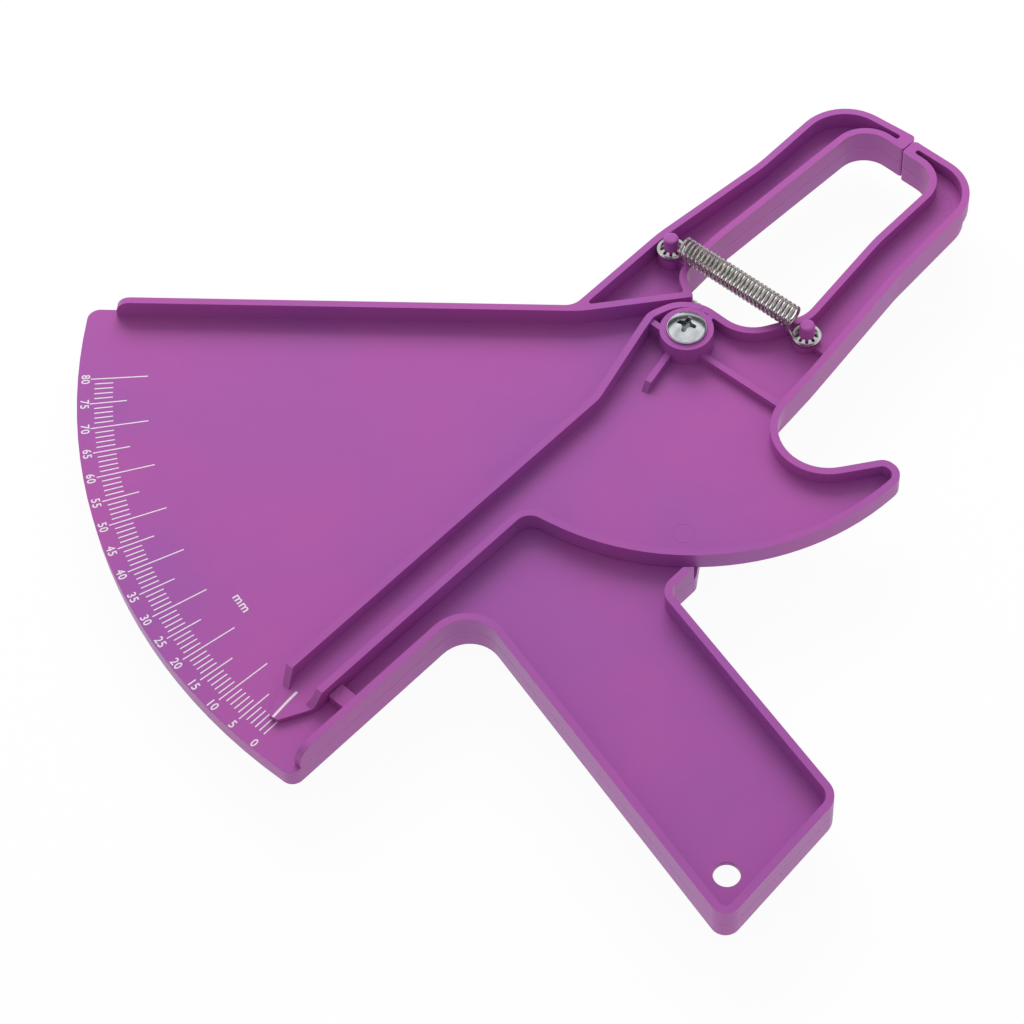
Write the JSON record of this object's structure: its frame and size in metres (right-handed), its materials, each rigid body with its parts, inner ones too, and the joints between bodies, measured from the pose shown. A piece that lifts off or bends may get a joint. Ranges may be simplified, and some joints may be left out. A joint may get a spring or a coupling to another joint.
{
  "type": "skinfold caliper",
  "caption": "Hand-held skinfold caliper: a thin hooked frame with a fan scale and a sprung jaw arm whose pointer reads the gap.",
  "frame": {"origin": "middle of the closed caliper's outline seen from the front, at the level of the back pegs that it lies on", "axes": "+Z out of the printed face, along the pivot; +X toward the jaw tips, in the plane of the scale; the handle points toward -Y"},
  "size_m": [0.293, 0.2866, 0.0286],
  "materials": {
    "purple_plastic": "satin",
    "screw_steel": "bright",
    "spring_steel": "bright wire",
    "washer_steel": "stamped"
  },
  "bodies": {
    "frame": {"scale_frame": "purple_plastic", "pivot_screw": "screw_steel", "front_frame_washer": "washer_steel", "back_frame_washer": "washer_steel"},
    "arm": {"jaw_arm": "purple_plastic", "front_arm_washer": "washer_steel", "back_arm_washer": "washer_steel"},
    "front_coil": {"front_spring": "spring_steel"},
    "front_far_hook": {"front_spring_hook": "spring_steel"},
    "back_coil": {"back_spring": "spring_steel"},
    "back_far_hook": {"back_spring_hook": "spring_steel"}
  },
  "joints": [
    {"name": "arm_pivot", "type": "hinge", "parent": "frame", "child": "arm", "pos_m": [0.03952, -0.00416, 0.0146], "axis": [0, 0, -1], "range_deg": [0, 45.7], "stiffness_Nm_per_rad": 0.3, "springref_deg": -20.05},
    {"name": "front_spring_swing", "type": "hinge", "parent": "frame", "child": "front_coil", "pos_m": [0.06182, 0.02214, 0.0196], "axis": [0, 0, -1], "range_deg": [0, 23.63], "deforming": ["front_spring"]},
    {"name": "front_spring_stretch", "type": "slide", "parent": "front_coil", "child": "front_far_hook", "axis": [0.028, -0.9996, 0], "range_m": [0, 0.01374], "deforming": ["front_spring_hook"]},
    {"name": "back_spring_swing", "type": "hinge", "parent": "frame", "child": "back_coil", "pos_m": [0.05652, 0.02104, 0.0096], "axis": [0, 0, -1], "range_deg": [0, 24.33], "deforming": ["back_spring"]},
    {"name": "back_spring_stretch", "type": "slide", "parent": "back_coil", "child": "back_far_hook", "axis": [0.0299, -0.9996, 0], "range_m": [0, 0.00966], "deforming": ["back_spring_hook"]}
  ],
  "couplings": [
    {"joint": "front_spring_swing", "follows": "arm_pivot", "ratio": 0.51588},
    {"joint": "front_spring_stretch", "follows": "arm_pivot", "m_per_rad": 0.017164},
    {"joint": "back_spring_swing", "follows": "arm_pivot", "ratio": 0.5314},
    {"joint": "back_spring_stretch", "follows": "arm_pivot", "m_per_rad": 0.012049}
  ]
}
